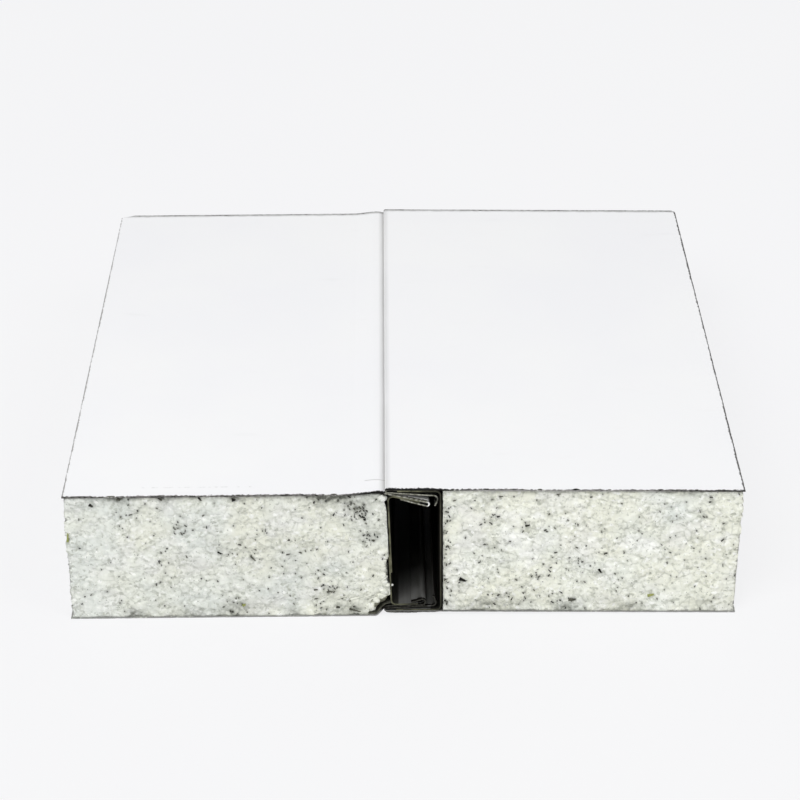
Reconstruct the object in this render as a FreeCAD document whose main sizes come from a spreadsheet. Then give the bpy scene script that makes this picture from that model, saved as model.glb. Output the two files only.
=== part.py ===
"""Joint sample of two insulated sandwich panels, snapped together edge to edge.

Each panel is a foam core between two painted sheet skins.  The left panel has the male edge:
its skins are joggled inwards and end in hemmed lips.  The right panel has the female edge:
its skins are folded back into long return legs that end in hooks, and they reach over and
under the male lips.  Bent sheet walls, held in the hems, line the duct between the cores.

Frame, in millimetres: +X runs across the joint from the male to the female panel, +Y runs
along the joint, +Z is up.  The origin is the centre of the underside.  Every section is
drawn in the XZ plane and padded both ways along Y.
"""
import FreeCAD, Part
import math
import os
import re

import Sketcher

DOC = FreeCAD.newDocument("SandwichPanelJoint")

# Driving dimensions: millimetres, and degrees for slopes and turns.
SIZES = {
    # both panels
    "half_width": 118.0,            # joint centre to either outer end
    "panel_depth": 236.0,           # along the joint
    "panel_height": 50.0,           # over both skins
    "sheet_gauge": 0.5,             # skins and duct walls alike
    "joint_step": 1.9,              # how far the female edge rides above the male one
    # male top skin: a shallow swell, then a lip that slopes into the joint
    "swell_start": 19.0,            # from the joint centre
    "swell_angle": 7.0,
    "swell_foot_radius": 20.0,
    "swell_run": 5.4,
    "swell_crest_radius": 11.5,
    "lip_slope": 14.0,
    "lip_run": 15.6,
    "lip_hem_radius": 0.5,
    "lip_hem_pinch": 3.0,           # how far the hem closes past flat
    "lip_hem_run": 9.4,
    # male bottom skin: a joggle up, then a nearly level foot
    "joggle_start": 10.6,           # from the joint centre
    "joggle_angle": 52.0,
    "joggle_radius": 1.5,
    "joggle_run": 3.25,
    "foot_slope": 1.5,
    "foot_run": 12.2,
    "foot_hem_radius": 0.9,
    "foot_hem_pinch": 19.0,
    "foot_hem_run": 3.6,
    # female skins: folded back under themselves, then hooked
    "female_reach": 7.2,            # past the joint centre, over the male panel
    "fold_radius": 0.3,
    "leg_spread": 3.9,
    "leg_run": 16.2,
    "hook_radius": 1.2,
    "hook_angle": 109.0,
    "hook_run": 2.2,
    # duct walls
    "wall_bend_radius": 1.5,
    "male_wall_corner": 5.2,        # from the joint centre to the wall, under the lip
    "male_wall_lean": 1.84,
    "upper_flange_end": 5.5,
    "upper_leg_end": 18.1,          # height of its free edge
    "lower_flange_end": 4.8,
    "lower_leg_end": 25.5,          # height of its free edge, behind the upper leg
    "female_wall_corner": 12.25,    # from the joint centre to the wall, under the skin
    "female_wall_lean": 1.0,
    "female_flange_end": 3.0,       # free edges, over and under the male panel
    # foam of the male edge, broken away at its foot and head
    "foam_foot_start": 12.6,
    "foam_foot_lip": 11.6,
    "foam_foot_lip_height": 6.4,
    "foam_foot_height": 8.2,
    "foam_head_height": 43.4,
    "foam_head_reach": 7.4,
}


# Places that follow from the driving dimensions, each a formula in the names above it.
PLACES = {
    # where the sloping lip of the male top skin begins, on its upper face
    "lip_x": "swell_foot_radius * sin(swell_angle) + swell_run * cos(swell_angle)"
             " + (swell_crest_radius + sheet_gauge) * (sin(swell_angle) + sin(lip_slope))"
             " - swell_start",
    "lip_z": "panel_height + swell_foot_radius * (1 - cos(swell_angle))"
             " + swell_run * sin(swell_angle)"
             " + (swell_crest_radius + sheet_gauge) * (cos(lip_slope) - cos(swell_angle))",
    # where the foot of the male bottom skin begins, on its upper face
    "foot_x": "joggle_radius * sin(joggle_angle) + joggle_run * cos(joggle_angle)"
              " + (joggle_radius + sheet_gauge) * (sin(joggle_angle) - sin(foot_slope))"
              " - joggle_start",
    "foot_z": "sheet_gauge + joggle_radius * (1 - cos(joggle_angle))"
              " + joggle_run * sin(joggle_angle)"
              " + (joggle_radius + sheet_gauge) * (cos(foot_slope) - cos(joggle_angle))",
    # the lower face of the upper angle's flange, at its free edge and at the wall's corner
    "upper_edge_z": "lip_z - (upper_flange_end - lip_x) * tan(lip_slope)"
                    " - 2 * sheet_gauge / cos(lip_slope)",
    "upper_corner_z": "lip_z + (male_wall_corner + lip_x) * tan(lip_slope)"
                      " - 2 * sheet_gauge / cos(lip_slope)",
    "upper_turn": "90 + lip_slope + male_wall_lean",
    "upper_setback": "wall_bend_radius * tan(upper_turn / 2)",
    # the back face of the lower angle, one sheet behind the upper one, down to the foot
    "male_back_x": "2 * sheet_gauge / cos(male_wall_lean) + male_wall_corner",
    "lower_corner_x": "((upper_corner_z - foot_z + foot_x * tan(foot_slope)) * tan(male_wall_lean)"
                      " - male_back_x) / (1 + tan(foot_slope) * tan(male_wall_lean))",
    "lower_corner_z": "foot_z + (lower_corner_x - foot_x) * tan(foot_slope)",
    "lower_edge_z": "foot_z + (lower_flange_end - foot_x) * tan(foot_slope)",
    "lower_turn": "90 + foot_slope - male_wall_lean",
    "lower_setback": "(wall_bend_radius + sheet_gauge) * tan(lower_turn / 2)",
    # the foam's face against that back face
    "foam_foot_x": "(upper_corner_z - foam_foot_height) * tan(male_wall_lean) - male_back_x",
    "foam_head_x": "(upper_corner_z - foam_head_height) * tan(male_wall_lean) - male_back_x",
    # the female wall, measured on its back face
    "clear_height": "panel_height - 2 * sheet_gauge",
    "female_foot_corner": "female_wall_corner + clear_height * tan(female_wall_lean)",
    "head_setback": "(wall_bend_radius + sheet_gauge) * tan((90 - female_wall_lean) / 2)",
    "foot_setback": "(wall_bend_radius + sheet_gauge) * tan((90 + female_wall_lean) / 2)",
    # how the female panel is tipped about its outer foot, and where that foot stands
    "tip": "asin(joint_step / (half_width + female_reach)) / 1 deg",
    "outer_foot": "half_width - panel_height * sin(tip)",
}


def sized(formula):
    """A formula with each name pointed at the spreadsheet or at the derived places."""
    def point(match):
        word = match.group()
        if word in SIZES:
            return "Sizes." + word
        return "Places." + word if word in PLACES else word
    return re.sub(r"[a-z_]+", point, formula)


def make_size_sheet():
    """The spreadsheet that holds every driving dimension under its own alias."""
    sheet = DOC.addObject("Spreadsheet::Sheet", "Sizes")
    for row, (alias, number) in enumerate(SIZES.items(), start=1):
        sheet.set("A%d" % row, alias.replace("_", " "))
        sheet.set("B%d" % row, str(number))
        sheet.setAlias("B%d" % row, alias)
    DOC.recompute()


def make_places():
    """The set of derived places, each bound to its formula."""
    places = DOC.addObject("App::VarSet", "Places")
    for name, formula in PLACES.items():
        places.addProperty("App::PropertyFloat", name)
        places.setExpression(name, sized(formula))
    DOC.recompute()


class Section:
    """A sketch in a body's XZ plane whose constraints are bound to the spreadsheet."""

    def __init__(self, body, name):
        plane = next(f for f in body.Origin.OriginFeatures if f.Role == "XZ_Plane")
        self.sketch = body.newObject("Sketcher::SketchObject", name)
        self.sketch.AttachmentSupport = [(plane, "")]
        self.sketch.MapMode = "FlatFace"
        self.body = body

    def value(self, formula):
        return float(self.sketch.evalExpression(sized(formula)))

    def bind(self, constraint, formula):
        """Add a dimensional constraint and tie it to its formula."""
        index = self.sketch.addConstraint(constraint)
        self.sketch.setExpression("Constraints[%d]" % index, sized(formula))

    def pin(self, curve, end, x_formula, z_formula):
        """Hold one end of a curve at a place worked out from the sizes."""
        for kind, formula in (("DistanceX", x_formula), ("DistanceY", z_formula)):
            place = self.value(formula)
            if place < 0:
                constraint = Sketcher.Constraint(kind, curve, end, -1, 1, -place)
                self.bind(constraint, "-(%s)" % formula)
            else:
                self.bind(Sketcher.Constraint(kind, -1, 1, curve, end, place), formula)

    def line(self, start, end):
        return self.sketch.addGeometry(Part.LineSegment(start, end))


class PolygonSection(Section):
    """A closed outline of straight edges, every corner held by two dimensions."""

    def draw(self, corners):
        places = [FreeCAD.Vector(self.value(x), self.value(z), 0) for x, z in corners]
        edges = [self.line(a, b) for a, b in zip(places, places[1:] + places[:1])]
        for edge, following in zip(edges, edges[1:] + edges[:1]):
            self.sketch.addConstraint(Sketcher.Constraint("Coincident", edge, 2, following, 1))
        for edge, (x_formula, z_formula) in zip(edges, corners):
            self.pin(edge, 1, x_formula, z_formula)


class SheetSection(Section):
    """The section of a bent sheet, drawn the way it is rolled: straight runs and tangent bends.

    The driving face is the one on the left of the walk.  Its runs and bends carry the
    dimensions; the other face follows it, parallel and concentric, one gauge away.
    """

    def begin(self, x_formula, z_formula, heading_formula):
        self.place = FreeCAD.Vector(self.value(x_formula), self.value(z_formula), 0)
        self.heading = math.radians(self.value(heading_formula))
        self.start = (x_formula, z_formula, heading_formula)
        self.gauge = self.value("sheet_gauge")
        self.driving = []
        self.following = []

    def to_right(self, distance):
        """The offset from the driving face towards the right of the walk."""
        side = self.heading - math.pi / 2
        return FreeCAD.Vector(distance * math.cos(side), distance * math.sin(side), 0)

    def run(self, length_formula):
        """A straight stretch of sheet."""
        length = self.value(length_formula)
        along = FreeCAD.Vector(math.cos(self.heading), math.sin(self.heading), 0) * length
        across = self.to_right(self.gauge)
        drive = self.line(self.place, self.place + along)
        follow = self.line(self.place + across, self.place + across + along)
        self.bind(Sketcher.Constraint("Distance", drive, length), length_formula)
        self.sketch.addConstraint(Sketcher.Constraint("Parallel", drive, follow))
        self.place = self.place + along
        self.join(drive, follow, 1, 2)

    def bend(self, angle_formula, radius_formula, towards):
        """A bend of a given inside radius, towards the left or the right of the walk."""
        angle = math.radians(self.value(angle_formula))
        left = towards == "left"
        inside = self.value(radius_formula)
        drive_radius = inside if left else inside + self.gauge
        follow_radius = inside + self.gauge if left else inside
        centre = self.place + self.to_right(-drive_radius if left else drive_radius)
        spoke = self.heading + (-math.pi / 2 if left else math.pi / 2)
        span = (spoke, spoke + angle) if left else (spoke - angle, spoke)
        drive = self.arc(centre, drive_radius, span)
        follow = self.arc(centre, follow_radius, span)
        drive_radius_formula = radius_formula if left else radius_formula + " + sheet_gauge"
        self.bind(Sketcher.Constraint("Radius", drive, drive_radius), drive_radius_formula)
        self.bind(Sketcher.Constraint("Angle", drive, angle), "(%s) * 1 deg" % angle_formula)
        self.sketch.addConstraint(Sketcher.Constraint("Coincident", drive, 3, follow, 3))
        self.heading += angle if left else -angle
        self.place = centre + self.to_right(drive_radius if left else -drive_radius)
        self.join(drive, follow, 1 if left else 2, 2 if left else 1)

    def arc(self, centre, radius, span):
        circle = Part.Circle(centre, FreeCAD.Vector(0, 0, 1), radius)
        return self.sketch.addGeometry(Part.ArcOfCircle(circle, span[0], span[1]))

    def join(self, drive, follow, near, far):
        """Make the newest stretch tangent to the one before it on both faces."""
        for chain, curve in ((self.driving, drive), (self.following, follow)):
            if chain:
                last, last_far = chain[-1]
                tangent = Sketcher.Constraint("Tangent", last, last_far, curve, near)
                self.sketch.addConstraint(tangent)
            chain.append((curve, far))

    def finish(self):
        """Cap both ends square and hold the first run where the walk began."""
        first, first_follow = self.driving[0][0], self.following[0][0]
        (last, last_end), (last_follow, follow_end) = self.driving[-1], self.following[-1]
        self.cap(first, 1, first_follow, 1)
        self.cap(last, last_end, last_follow, follow_end)
        x_formula, z_formula, heading_formula = self.start
        self.pin(first, 1, x_formula, z_formula)
        heading = math.radians(self.value(heading_formula))
        self.bind(Sketcher.Constraint("Angle", first, heading), "(%s) * 1 deg" % heading_formula)
        gap = Sketcher.Constraint("Distance", first, 1, first_follow, 1, self.gauge)
        self.bind(gap, "sheet_gauge")

    def cap(self, face, end, other_face, other_end):
        places = [self.sketch.getPoint(face, end), self.sketch.getPoint(other_face, other_end)]
        edge = self.line(*places)
        self.sketch.addConstraint(Sketcher.Constraint("Coincident", edge, 1, face, end))
        self.sketch.addConstraint(Sketcher.Constraint("Coincident", edge, 2, other_face, other_end))
        self.sketch.addConstraint(Sketcher.Constraint("Perpendicular", edge, face))


def new_body(name):
    body = DOC.addObject("PartDesign::Body", name)
    body.Label = name
    return body


def padded(name, section):
    """Pad a finished section both ways along the joint."""
    pad = section.body.newObject("PartDesign::Pad", name + "_pad")
    pad.Profile = section.sketch
    pad.SideType = "Symmetric"
    pad.setExpression("Length", "Sizes.panel_depth")
    return section.body


def seat_right_panel(body):
    """Tip a female piece about its outer foot, so that its joint edge rides on the male one."""
    body.Placement.Rotation = FreeCAD.Rotation(FreeCAD.Vector(0, 1, 0), 1)
    body.setExpression("Placement.Rotation.Angle", sized("tip * 1 deg"))
    body.setExpression("Placement.Base.x", sized("outer_foot * (1 - cos(tip)) * 1 mm"))
    body.setExpression("Placement.Base.z", sized("outer_foot * sin(tip) * 1 mm"))
    return body


def left_core():
    core = PolygonSection(new_body("left_core"), "left_core_section")
    core.draw([
        ("-half_width", "sheet_gauge"),
        ("-foam_foot_start", "sheet_gauge"),
        ("-foam_foot_lip", "foam_foot_lip_height"),
        ("foam_foot_x", "foam_foot_height"),
        ("foam_head_x", "foam_head_height"),
        ("-foam_head_reach", "panel_height - sheet_gauge"),
        ("-half_width", "panel_height - sheet_gauge"),
    ])
    return padded("left_core", core)


def left_top_skin():
    skin = SheetSection(new_body("left_top_skin"), "left_top_skin_section")
    skin.begin("-half_width", "panel_height", "0")
    skin.run("half_width - swell_start")
    skin.bend("swell_angle", "swell_foot_radius", "left")
    skin.run("swell_run")
    skin.bend("swell_angle + lip_slope", "swell_crest_radius", "right")
    skin.run("lip_run")
    skin.bend("180 + lip_hem_pinch", "lip_hem_radius", "right")
    skin.run("lip_hem_run")
    skin.finish()
    return padded("left_top_skin", skin)


def left_bottom_skin():
    skin = SheetSection(new_body("left_bottom_skin"), "left_bottom_skin_section")
    skin.begin("-half_width", "sheet_gauge", "0")
    skin.run("half_width - joggle_start")
    skin.bend("joggle_angle", "joggle_radius", "left")
    skin.run("joggle_run")
    skin.bend("joggle_angle - foot_slope", "joggle_radius", "right")
    skin.run("foot_run")
    skin.bend("180 + foot_hem_pinch", "foot_hem_radius", "left")
    skin.run("foot_hem_run")
    skin.finish()
    return padded("left_bottom_skin", skin)


def left_upper_angle():
    """The upper half of the male wall, its flange under the lip and held in the lip's hem."""
    angle = SheetSection(new_body("left_upper_angle"), "left_upper_angle_section")
    angle.begin("upper_flange_end", "upper_edge_z", "180 - lip_slope")
    angle.run("(upper_flange_end + male_wall_corner) / cos(lip_slope) - upper_setback")
    angle.bend("upper_turn", "wall_bend_radius", "left")
    angle.run("(upper_corner_z - upper_leg_end) / cos(male_wall_lean) - upper_setback")
    angle.finish()
    return padded("left_upper_angle", angle)


def left_lower_angle():
    """The lower half, its flange on the foot and its leg lapped behind the upper one."""
    angle = SheetSection(new_body("left_lower_angle"), "left_lower_angle_section")
    angle.begin("lower_flange_end", "lower_edge_z", "180 + foot_slope")
    angle.run("(lower_flange_end - lower_corner_x) / cos(foot_slope) - lower_setback")
    angle.bend("lower_turn", "wall_bend_radius", "right")
    angle.run("(lower_leg_end - lower_corner_z) / cos(male_wall_lean) - lower_setback")
    angle.finish()
    return padded("left_lower_angle", angle)


def female_skin(name, is_top):
    """Either skin of the female edge; the lower one is the upper one mirrored."""
    inwards, outwards = ("left", "right") if is_top else ("right", "left")
    left_face = "panel_height - sheet_gauge" if is_top else "0"
    skin = SheetSection(new_body(name), name + "_section")
    skin.begin("outer_foot", left_face, "180")
    skin.run("outer_foot + female_reach - fold_radius - sheet_gauge")
    skin.bend("180 - leg_spread", "fold_radius", inwards)
    skin.run("leg_run")
    skin.bend("hook_angle", "hook_radius", outwards)
    skin.run("hook_run")
    skin.finish()
    return seat_right_panel(padded(name, skin))


def right_duct_wall():
    """The female wall, a channel whose flanges lie against both skins, inside their folds."""
    wall = SheetSection(new_body("right_duct_wall"), "right_duct_wall_section")
    wall.begin("-female_flange_end", "panel_height - sheet_gauge", "0")
    wall.run("female_wall_corner + female_flange_end - head_setback")
    wall.bend("90 - female_wall_lean", "wall_bend_radius", "right")
    wall.run("clear_height / cos(female_wall_lean) - head_setback - foot_setback")
    wall.bend("90 + female_wall_lean", "wall_bend_radius", "right")
    wall.run("female_foot_corner + female_flange_end - foot_setback")
    wall.finish()
    return seat_right_panel(padded("right_duct_wall", wall))


def right_core():
    core = PolygonSection(new_body("right_core"), "right_core_section")
    core.draw([
        ("female_foot_corner", "sheet_gauge"),
        ("outer_foot", "sheet_gauge"),
        ("outer_foot", "panel_height - sheet_gauge"),
        ("female_wall_corner", "panel_height - sheet_gauge"),
    ])
    return seat_right_panel(padded("right_core", core))


def check_document(pieces):
    """Stop before anything is written if an object failed or a shape is unsound."""
    for item in DOC.Objects:
        if "Invalid" in item.State or "Error" in item.State:
            raise RuntimeError("%s did not recompute" % item.Name)
    for piece in pieces:
        shape = piece.Shape
        if shape.isNull() or not shape.isValid() or len(shape.Solids) != 1:
            raise RuntimeError("%s has no sound solid" % piece.Label)


def main():
    make_size_sheet()
    make_places()
    pieces = [
        left_core(),
        left_top_skin(),
        left_bottom_skin(),
        left_upper_angle(),
        left_lower_angle(),
        right_core(),
        female_skin("right_top_skin", True),
        female_skin("right_bottom_skin", False),
        right_duct_wall(),
    ]
    DOC.recompute()
    check_document(pieces)
    os.makedirs("parts", exist_ok=True)
    for piece in pieces:
        piece.Shape.exportStep("parts/%s.step" % piece.Label)


main()
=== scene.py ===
"""Dresses the joint sample of two insulated sandwich panels: cut bead foam, painted sheet, bare walls."""

import math
import random

import bmesh
import bpy
from mathutils import Matrix, Vector, noise
from mathutils.kdtree import KDTree


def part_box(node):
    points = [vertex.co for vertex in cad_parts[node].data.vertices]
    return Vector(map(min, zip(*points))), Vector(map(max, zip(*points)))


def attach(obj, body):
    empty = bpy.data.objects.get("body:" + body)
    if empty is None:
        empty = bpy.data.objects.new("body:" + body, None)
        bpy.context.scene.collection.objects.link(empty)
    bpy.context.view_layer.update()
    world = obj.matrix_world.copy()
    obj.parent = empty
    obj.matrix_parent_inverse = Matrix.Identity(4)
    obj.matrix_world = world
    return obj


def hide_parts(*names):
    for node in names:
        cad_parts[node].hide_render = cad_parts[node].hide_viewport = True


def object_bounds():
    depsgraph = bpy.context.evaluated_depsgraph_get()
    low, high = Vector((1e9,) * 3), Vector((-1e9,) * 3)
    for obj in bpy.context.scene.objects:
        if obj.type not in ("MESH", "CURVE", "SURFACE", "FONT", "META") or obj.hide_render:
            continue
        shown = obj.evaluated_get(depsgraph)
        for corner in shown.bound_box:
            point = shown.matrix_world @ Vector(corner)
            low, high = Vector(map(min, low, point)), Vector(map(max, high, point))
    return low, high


MM = 0.001

BEAD_SIZE = 4.2 * MM          # one foam bead, across
FOAM_GRID = 0.66 * MM         # spacing of the cut faces' mesh
FOAM_SINK = 0.12 * MM         # the least that a cut face lies behind the panel's own end
BEAD_STEP = 0.6 * MM          # how far one bead sits behind its neighbour
BEAD_DOME = 0.8 * MM          # how round a torn bead is
BEAD_SHUFFLE = 61.7           # spreads the beads' places so that each draws its own height
TEAR = 0.7 * MM               # ragged skin left by the saw
END_TEAR = 4 * MM             # how fast the tearing of the cores' outer corners fades in from the sawn ends

SHEET_STEP = 1.1 * MM         # spacing of the points that roughen a sawn sheet edge
SHEET_BITE = 0.3 * MM         # the deepest nick in a sawn sheet edge
CUT_BAND = 0.75 * MM          # width of the burred, dark band along each sawn sheet edge
GROOVE = -6.45 * MM           # where the upper joint's groove runs
PANEL_LEAN = 0.01518          # how far the right panel drops for each step outwards
LIP_SLOPE = 0.249             # how far the left panel's hemmed lip drops for each step into the joint

CHIP_SOOT = 0.34              # how sooty the foam is under a chip
CHIP_THICK = 0.3 * MM         # how thick a common chip is
CHIP_LIFT = 0.16 * MM         # how far a chip's middle stands off the foam, and stays behind the panel's end

SKY_ON_PART = 0.34            # strength of the sky's light on the part
SKY_SEEN = 0.92               # strength of the sky to the eye and in reflections
FLOOR_GLOW = 0.87             # how much of the floor's seen colour is its own glow

# Soot and chips thrown by the saw: place across and up the front cut, spread, and number of chips.
LEFT_SOOT = [(-16.5, 43.5, 2.9, 34), (-13.5, 40.5, 1.8, 14), (-11.0, 32.0, 1.5, 15), (-26.5, 10.0, 1.8, 15),
             (-21.0, 5.0, 2.4, 10), (-77.0, 36.0, 2.2, 12), (-83.0, 20.0, 3.0, 10), (-27.0, 48.6, 3.5, 8),
             (-60.0, 4.0, 3.0, 6), (-95.0, 41.0, 3.0, 6), (-38.0, 22.0, 7.0, 16), (-60.0, 28.0, 7.0, 12)]
RIGHT_SOOT = [(13.9, 44.0, 1.1, 8), (13.9, 38.0, 1.1, 8), (13.8, 32.5, 1.2, 9), (13.8, 26.5, 1.2, 9),
              (13.8, 20.0, 1.2, 7), (13.9, 13.5, 1.2, 10), (14.0, 8.5, 1.2, 9), (14.3, 3.5, 1.2, 8),
              (36.0, 6.0, 5.0, 12), (30.5, 39.5, 1.8, 8), (50.0, 15.5, 2.6, 10), (61.0, 20.0, 2.6, 10),
              (57.0, 4.5, 3.0, 8)]
# Soft smears of soot: across, up, spread, strength.
LEFT_SMEARS = [(-27.8, 49.5, 3.0, 0.90), (-22.5, 49.5, 3.0, 0.90), (-25.0, 48.0, 5.0, 0.30),
               (-15.0, 46.0, 3.6, 0.34), (-11.5, 33.0, 2.6, 0.22), (-26.0, 8.5, 3.4, 0.22),
               (-60.0, 2.8, 6.0, 0.26), (-21.0, 2.5, 4.0, 0.30), (-98.0, 48.8, 3.6, 0.50),
               (-83.0, 49.0, 2.8, 0.45), (-58.0, 48.5, 1.8, 0.60), (-75.0, 1.2, 3.0, 0.45),
               (-95.0, 1.2, 3.0, 0.45), (-113.0, 44.0, 2.5, 0.25)]
RIGHT_SMEARS = [(59.0, 2.2, 4.5, 0.36), (79.0, 2.5, 3.5, 0.50), (36.0, 3.5, 5.0, 0.28),
                (29.0, 47.5, 2.5, 0.30), (31.5, 28.0, 3.0, 0.22), (20.5, 12.5, 1.8, 0.25),
                (69.0, 16.5, 1.6, 0.30), (100.0, 48.5, 3.0, 0.35), (26.0, 5.5, 2.0, 0.30)]
# Single large chips: across, up, length, width, turn in degrees.
LEFT_CHIPS = [(-97.8, 48.2, 2.0, 1.1, -20), (-83.3, 48.7, 1.5, 0.9, -50), (-107.9, 46.2, 1.5, 1.1, -35),
              (-57.5, 48.0, 1.3, 1.3, 0), (-69.5, 48.2, 1.7, 0.8, -55), (-64.0, 26.0, 1.9, 0.6, -25),
              (-52.5, 24.0, 2.3, 0.5, -50), (-10.5, 1.9, 4.0, 0.6, -18), (-17.0, 3.2, 1.3, 0.9, -15)]
RIGHT_CHIPS = [(20.5, 13.0, 2.5, 1.3, -25), (28.5, 28.0, 1.9, 0.7, -5), (69.0, 17.0, 1.9, 1.0, -60),
               (43.0, 36.5, 1.6, 0.8, 10), (59.5, 4.6, 2.6, 1.2, 0)]


# ---------------------------------------------------------------- materials

class Recipe:
    """A material under construction: adds nodes and joins them to the one shader."""

    def __init__(self, name, roughness):
        self.material = bpy.data.materials.new(name)
        self.material.use_nodes = True
        self.tree = self.material.node_tree
        self.shader = self.tree.nodes["Principled BSDF"]
        self.shader.inputs["Roughness"].default_value = roughness
        self.coordinates = self.add("ShaderNodeTexCoord")
        self.place = self.coordinates.outputs["Object"]

    def add(self, kind, **settings):
        node = self.tree.nodes.new(kind)
        for key, value in settings.items():
            setattr(node, key, value)
        return node

    def feed(self, socket, value):
        """Join a socket to another node's output, or set it to a plain value."""
        if isinstance(value, bpy.types.NodeSocket):
            self.tree.links.new(value, socket)
        else:
            socket.default_value = value

    def sums(self, operation, first, second=0.0, third=0.0):
        node = self.add("ShaderNodeMath", operation=operation)
        for socket, value in zip(node.inputs, (first, second, third)):
            self.feed(socket, value)
        return node.outputs[0]

    def axes(self, vector):
        split = self.add("ShaderNodeSeparateXYZ")
        self.feed(split.inputs[0], vector)
        return split.outputs["X"], split.outputs["Y"], split.outputs["Z"]

    def scaled(self, factors, turn=(0, 0, 0)):
        node = self.add("ShaderNodeMapping")
        self.feed(node.inputs["Vector"], self.place)
        node.inputs["Scale"].default_value = factors
        node.inputs["Rotation"].default_value = turn
        return node.outputs["Vector"]

    def noise(self, size, detail=3.0, stretch=(1, 1, 1), turn=(0, 0, 0)):
        """Noise whose lumps are about the given size, in metres."""
        node = self.add("ShaderNodeTexNoise")
        node.inputs["Scale"].default_value = 1.0
        node.inputs["Detail"].default_value = detail
        self.feed(node.inputs["Vector"], self.scaled([axis / size for axis in stretch], turn))
        return node.outputs["Fac"]

    def cells(self, size, feature="F1", output="Distance", stretch=(1, 1, 1)):
        node = self.add("ShaderNodeTexVoronoi", feature=feature)
        node.inputs["Scale"].default_value = 1.0
        self.feed(node.inputs["Vector"], self.scaled([axis / size for axis in stretch]))
        return node.outputs[output]

    def band(self, value, low, high, low_out=0.0, high_out=1.0):
        """Stretch a band of values over another, held at its ends."""
        node = self.add("ShaderNodeMapRange")
        for name, number in (("Value", value), ("From Min", low), ("From Max", high),
                             ("To Min", low_out), ("To Max", high_out)):
            self.feed(node.inputs[name], number)
        return node.outputs["Result"]

    def mix(self, factor, first, second):
        node = self.add("ShaderNodeMix", data_type="RGBA")
        self.feed(node.inputs[0], factor)
        self.feed(node.inputs[6], first)
        self.feed(node.inputs[7], second)
        return node.outputs[2]

    def bump(self, height, distance, strength=1.0, under=None):
        node = self.add("ShaderNodeBump")
        node.inputs["Distance"].default_value = distance
        node.inputs["Strength"].default_value = strength
        self.feed(node.inputs["Height"], height)
        if under is not None:
            self.feed(node.inputs["Normal"], under)
        return node.outputs["Normal"]

    def finish(self, colour=None, roughness=None, normal=None, metal=None):
        finishes = {"Base Color": colour, "Roughness": roughness, "Normal": normal, "Metallic": metal}
        for name, value in finishes.items():
            if value is not None:
                self.feed(self.shader.inputs[name], value)
        return self.material


def bead_foam():
    """Cut white bead foam: every bead its own shade, torn bright flecks, soot where the saw ran hot."""
    foam = Recipe("cut_bead_foam", 0.55)
    across = foam.axes(foam.place)[0]
    drift = foam.sums("ADD", foam.noise(24 * MM, 2.0), foam.band(across, -115 * MM, -30 * MM, -0.10, 0.07))
    tone = foam.mix(foam.band(drift, 0.40, 0.60), (0.740, 0.770, 0.722, 1), (0.795, 0.802, 0.692, 1))
    lilac = foam.band(foam.noise(15 * MM, 2.0), 0.54, 0.66, 0.0, 0.5)
    tone = foam.mix(lilac, tone, (0.750, 0.745, 0.730, 1))
    shade, _, rough = foam.axes(foam.cells(BEAD_SIZE, output="Color"))
    tone = foam.mix(foam.band(shade, 0.3, 1.0, 0.0, 0.35), tone, (0.87, 0.885, 0.81, 1))
    lump = foam.band(foam.noise(7.5 * MM, 3.0, (0.7, 1, 1)), 0.57, 0.68, 0.0, 0.6)
    tone = foam.mix(lump, tone, (0.93, 0.935, 0.90, 1))
    # Painted shade in the crevices along the beads' borders.
    bead_crevice_shade = foam.band(foam.cells(BEAD_SIZE, "DISTANCE_TO_EDGE"), 0.0, 0.09, 0.45, 0.0)
    bead_crevice_shade = foam.sums("MULTIPLY", bead_crevice_shade, foam.band(foam.noise(7 * MM), 0.42, 0.58))
    tone = foam.mix(bead_crevice_shade, tone, (0.42, 0.435, 0.37, 1))
    torn = foam.sums("MAXIMUM", foam.band(rough, 0.45, 0.75), foam.band(foam.noise(9 * MM, 3.0), 0.48, 0.62))
    torn = foam.band(torn, 0.0, 1.0, 0.25, 1.0)
    smear = foam.noise(1.5 * MM, 5.0, (0.85, 1, 1), (0, 0.5, 0))
    bright = foam.sums("MULTIPLY", foam.band(smear, 0.52, 0.66, 0.0, 0.75), torn)
    tone = foam.mix(bright, tone, (0.90, 0.91, 0.85, 1))
    dark = foam.sums("MULTIPLY", foam.band(smear, 0.46, 0.32, 0.0, 0.75), torn)
    tone = foam.mix(dark, tone, (0.44, 0.455, 0.385, 1))
    facet = foam.axes(foam.cells(0.9 * MM, output="Color", stretch=(0.8, 1, 1)))[1]
    gleam = foam.sums("MULTIPLY", foam.band(facet, 0.88, 0.97, 0.0, 0.8), foam.band(smear, 0.42, 0.55))
    tone = foam.mix(gleam, tone, (0.97, 0.975, 0.94, 1))
    tone = foam.mix(foam.band(facet, 0.09, 0.02, 0.0, 0.5), tone, (0.33, 0.345, 0.29, 1))
    grit = foam.noise(0.75 * MM, 3.0)
    tone = foam.mix(foam.band(grit, 0.35, 0.26, 0.0, 0.85), tone, (0.13, 0.135, 0.11, 1))
    soot = foam.add("ShaderNodeAttribute", attribute_name="soot").outputs["Fac"]
    soot = foam.sums("MULTIPLY", soot, foam.band(foam.noise(1.6 * MM, 5.0), 0.36, 0.64, 0.5, 1.4))
    tone = foam.mix(soot, tone, (0.085, 0.09, 0.07, 1))
    height = foam.noise(1.2 * MM, 5.0)
    relief = foam.bump(foam.sums("MULTIPLY", height, torn), 0.8 * MM, 0.85)
    shaded = foam.band(across, 8 * MM, -8 * MM, 0.0, 0.12)
    tone = foam.mix(shaded, tone, (0.36, 0.37, 0.34, 1))
    foam.shader.inputs["Subsurface Weight"].default_value = 0.08
    foam.shader.inputs["Subsurface Radius"].default_value = (1.0, 1.0, 0.9)
    foam.shader.inputs["Subsurface Scale"].default_value = 0.8 * MM
    foam.shader.inputs["Specular IOR Level"].default_value = 0.3
    return foam.finish(tone, foam.band(facet, 0.7, 0.95, 0.6, 0.3), relief)


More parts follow.
